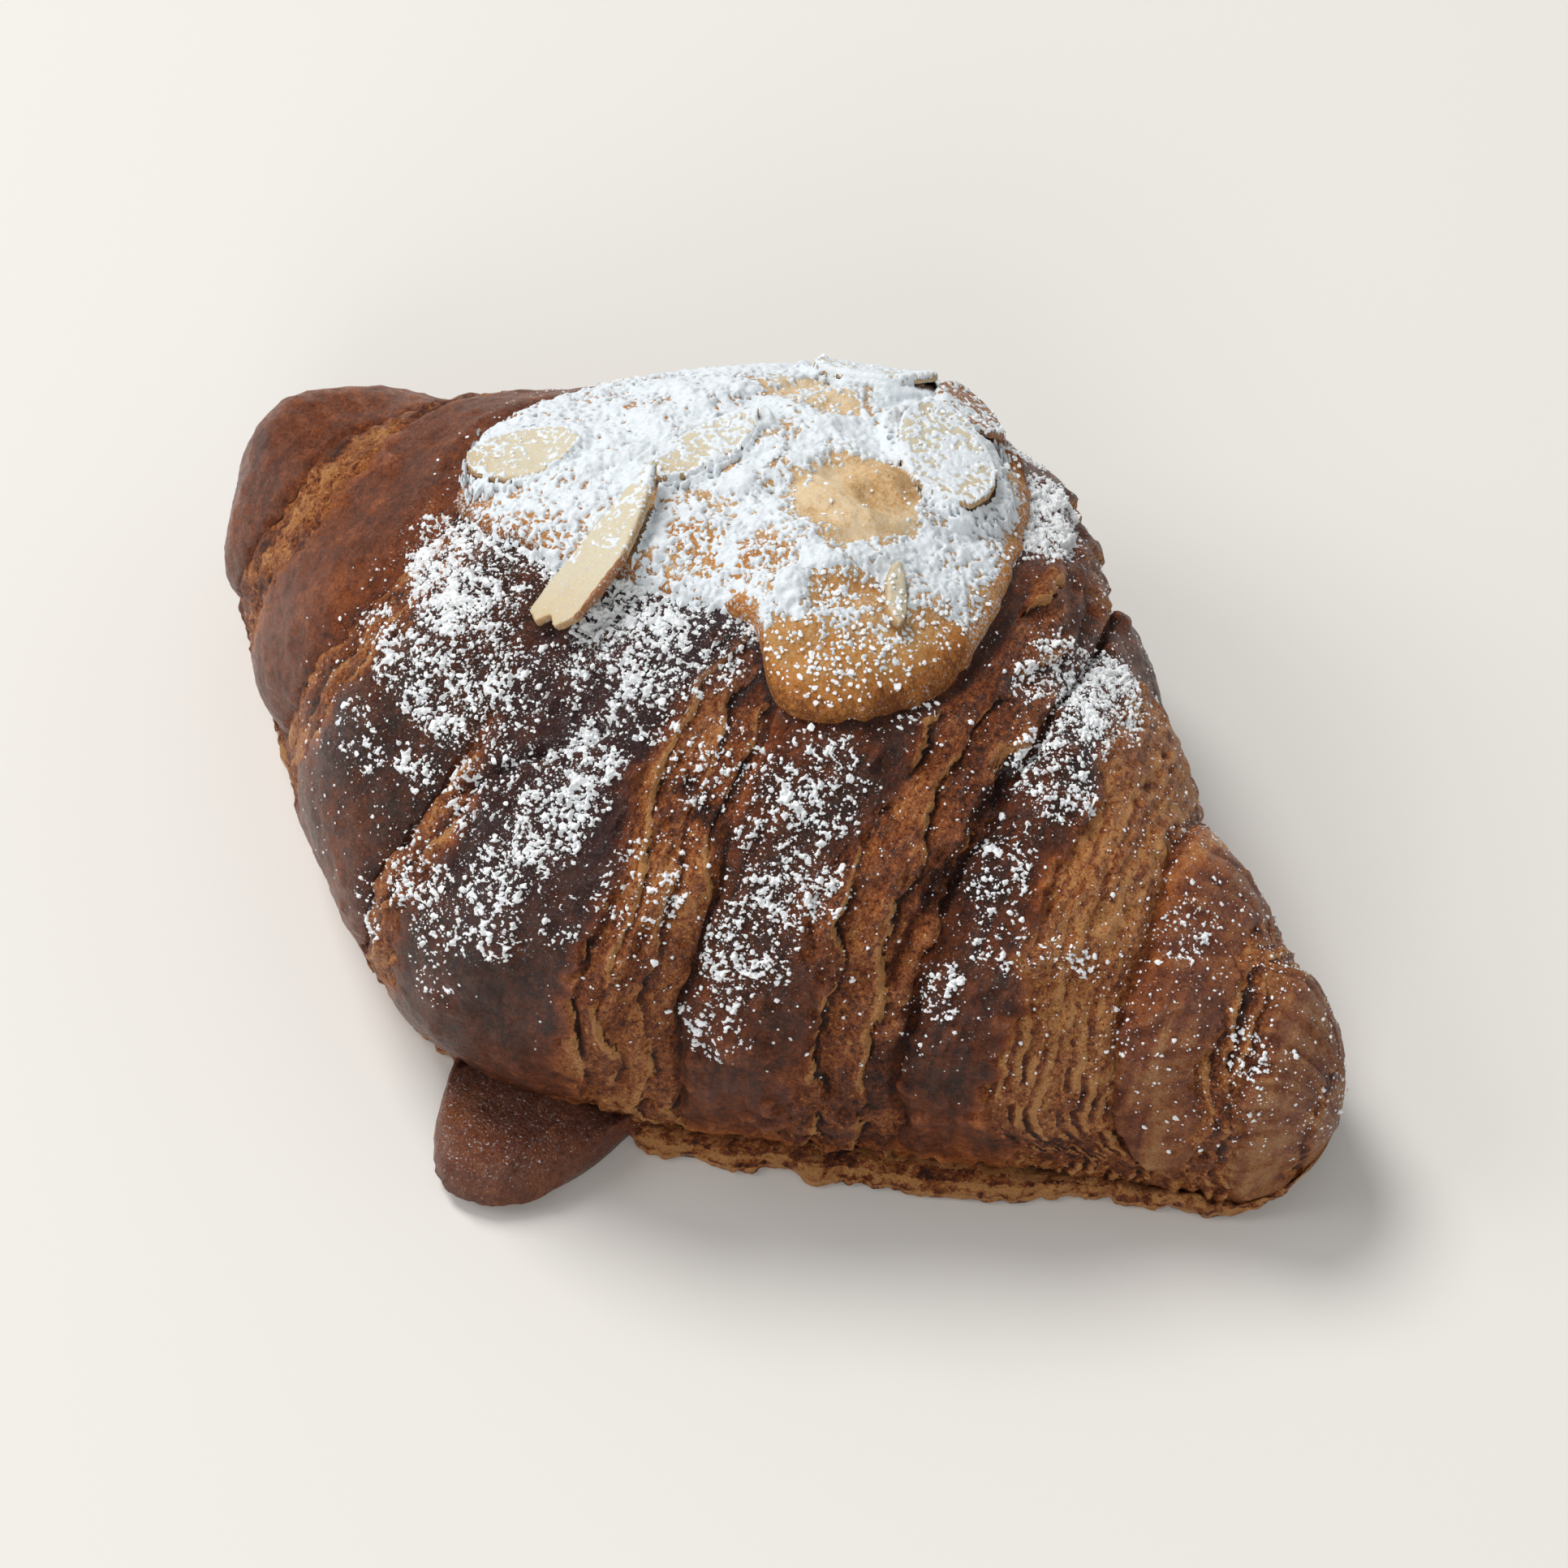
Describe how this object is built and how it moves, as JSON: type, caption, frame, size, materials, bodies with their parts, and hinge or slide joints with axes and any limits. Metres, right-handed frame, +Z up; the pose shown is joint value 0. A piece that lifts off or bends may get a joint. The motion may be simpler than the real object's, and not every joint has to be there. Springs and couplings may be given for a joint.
{
  "type": "almond croissant",
  "caption": "Rolled laminated croissant with stepped turns, a tail at its foot and a baked almond cream cap set with almond slices.",
  "frame": {"origin": "under the middle of the croissant's box, on the plane that its foot rests on", "axes": "+X along the roll towards the end that steps down on the picture's right, -Y the front with the tail, +Z up"},
  "size_m": [0.156, 0.1068, 0.0592],
  "materials": {
    "crust": "browned laminated crust, satin on the turns",
    "almond_cream": "baked almond cream, matte and grainy",
    "almond": "toasted almond slice, smooth and pale"
  },
  "bodies": {
    "root": {"croissant": "crust", "almond_cream": "almond_cream", "almond_slice_long": "almond", "almond_slice_left": "almond", "almond_slice_middle": "almond", "almond_slice_right": "almond", "almond_sliver": "almond", "almond_slice_back": "almond", "almond_slice_corner": "almond"}
  },
  "joints": []
}
